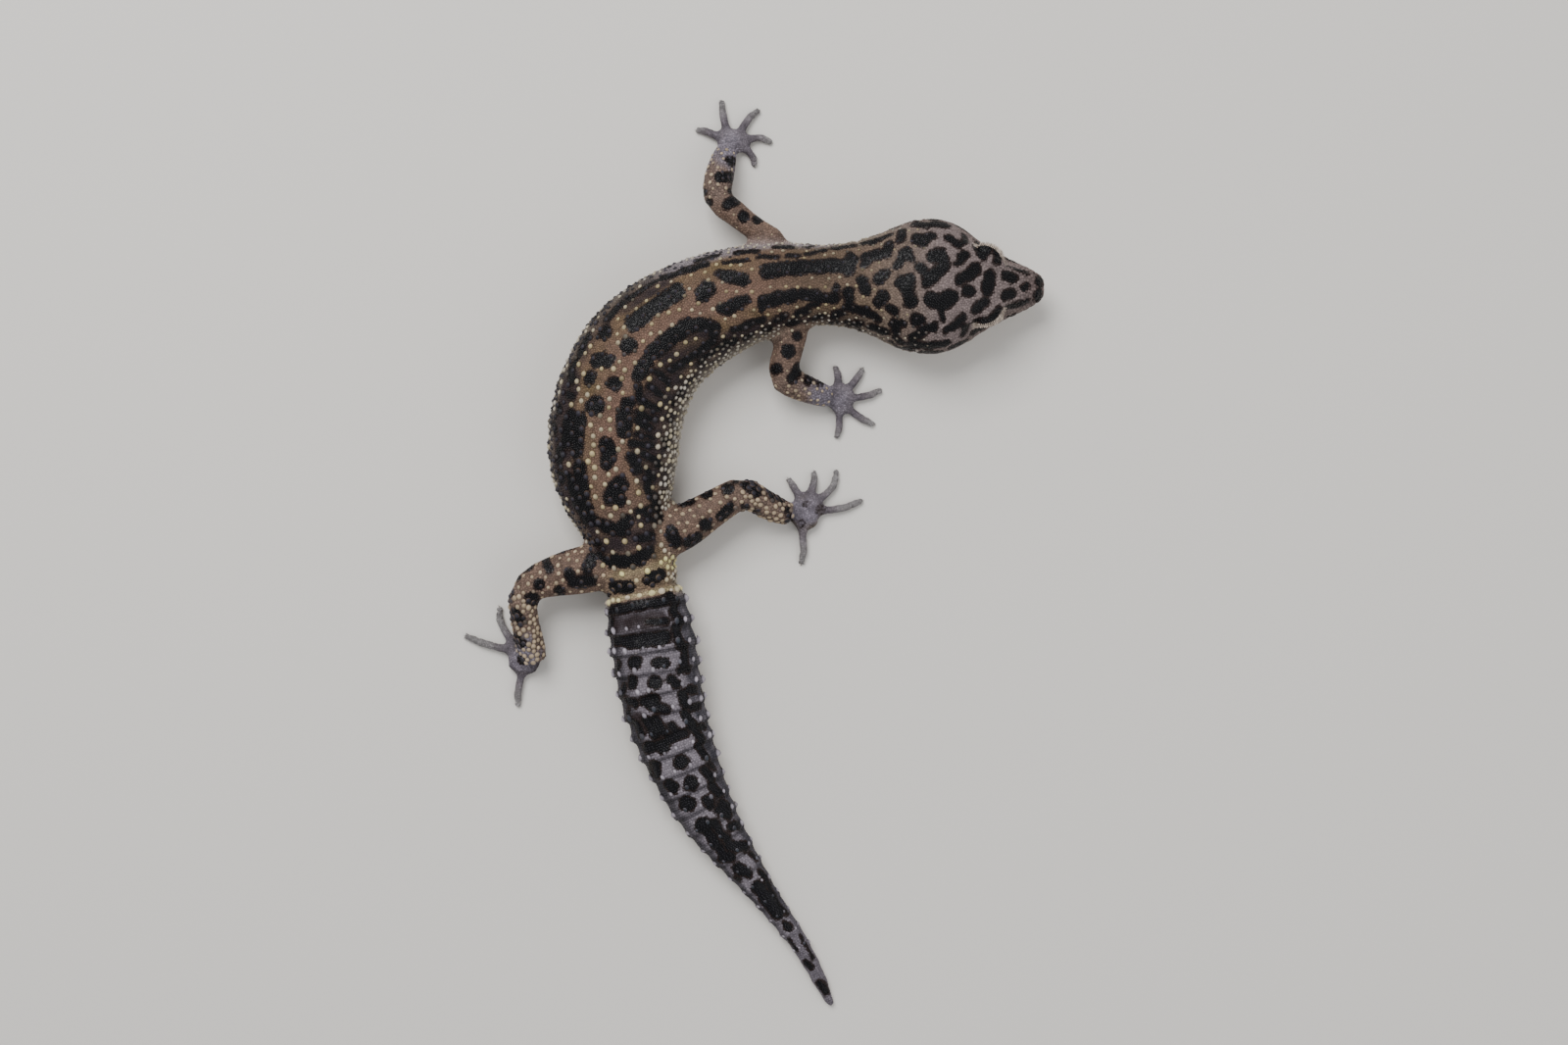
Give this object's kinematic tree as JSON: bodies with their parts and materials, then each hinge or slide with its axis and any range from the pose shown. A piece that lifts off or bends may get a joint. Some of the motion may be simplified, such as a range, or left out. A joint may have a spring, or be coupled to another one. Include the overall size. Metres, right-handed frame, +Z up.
{
  "type": "leopard gecko",
  "caption": "Leopard gecko lying with its trunk in a curve, legs spread and thick ringed tail, modelled life size as a still museum piece.",
  "frame": {"origin": "on the floor under the centre of the gecko's outline seen from above", "axes": "+Z up, +X the way the head points, +Y towards the head's left side and along the tail's length"},
  "size_m": [0.1116, 0.1755, 0.0164],
  "materials": {
    "head_skin": "dry scaly skin, pinkish tan with black blotches",
    "trunk_skin": "dry scaly skin, tan with black blotches and cream tubercles",
    "tail_skin": "dry ringed skin, grey with black spots and pale tubercles",
    "leg_skin": "dry scaly skin, tan with round black spots",
    "foot_skin": "smooth fine scales, grey mauve",
    "eye": "wet and glossy"
  },
  "bodies": {
    "root": {"head": "head_skin", "jaw": "head_skin", "neck": "trunk_skin", "shoulders": "trunk_skin", "trunk_front": "trunk_skin", "trunk_middle": "trunk_skin", "trunk_rear": "trunk_skin", "pelvis": "trunk_skin", "tail_base": "tail_skin", "tail_front": "tail_skin", "tail_middle": "tail_skin", "tail_tip": "tail_skin", "front_left_upper_arm": "leg_skin", "front_left_forearm": "leg_skin", "front_right_upper_arm": "leg_skin", "front_right_forearm": "leg_skin", "hind_right_thigh": "leg_skin", "hind_right_shin": "leg_skin", "hind_left_thigh": "leg_skin", "hind_left_shin": "leg_skin", "front_left_foot": "foot_skin", "front_left_toe_1": "foot_skin", "front_left_toe_2": "foot_skin", "front_left_toe_3": "foot_skin", "front_left_toe_4": "foot_skin", "front_left_toe_5": "foot_skin", "front_right_foot": "foot_skin", "front_right_toe_1": "foot_skin", "front_right_toe_2": "foot_skin", "front_right_toe_3": "foot_skin", "front_right_toe_4": "foot_skin", "front_right_toe_5": "foot_skin", "hind_right_foot": "foot_skin", "hind_right_toe_1": "foot_skin", "hind_right_toe_2": "foot_skin", "hind_right_toe_3": "foot_skin", "hind_right_toe_4": "foot_skin", "hind_right_toe_5": "foot_skin", "hind_left_foot": "foot_skin", "hind_left_toe_1": "foot_skin", "hind_left_toe_2": "foot_skin", "hind_left_toe_3": "foot_skin", "hind_left_toe_4": "foot_skin", "hind_left_toe_5": "foot_skin", "eye_left": "eye", "eye_right": "eye"}
  },
  "joints": []
}
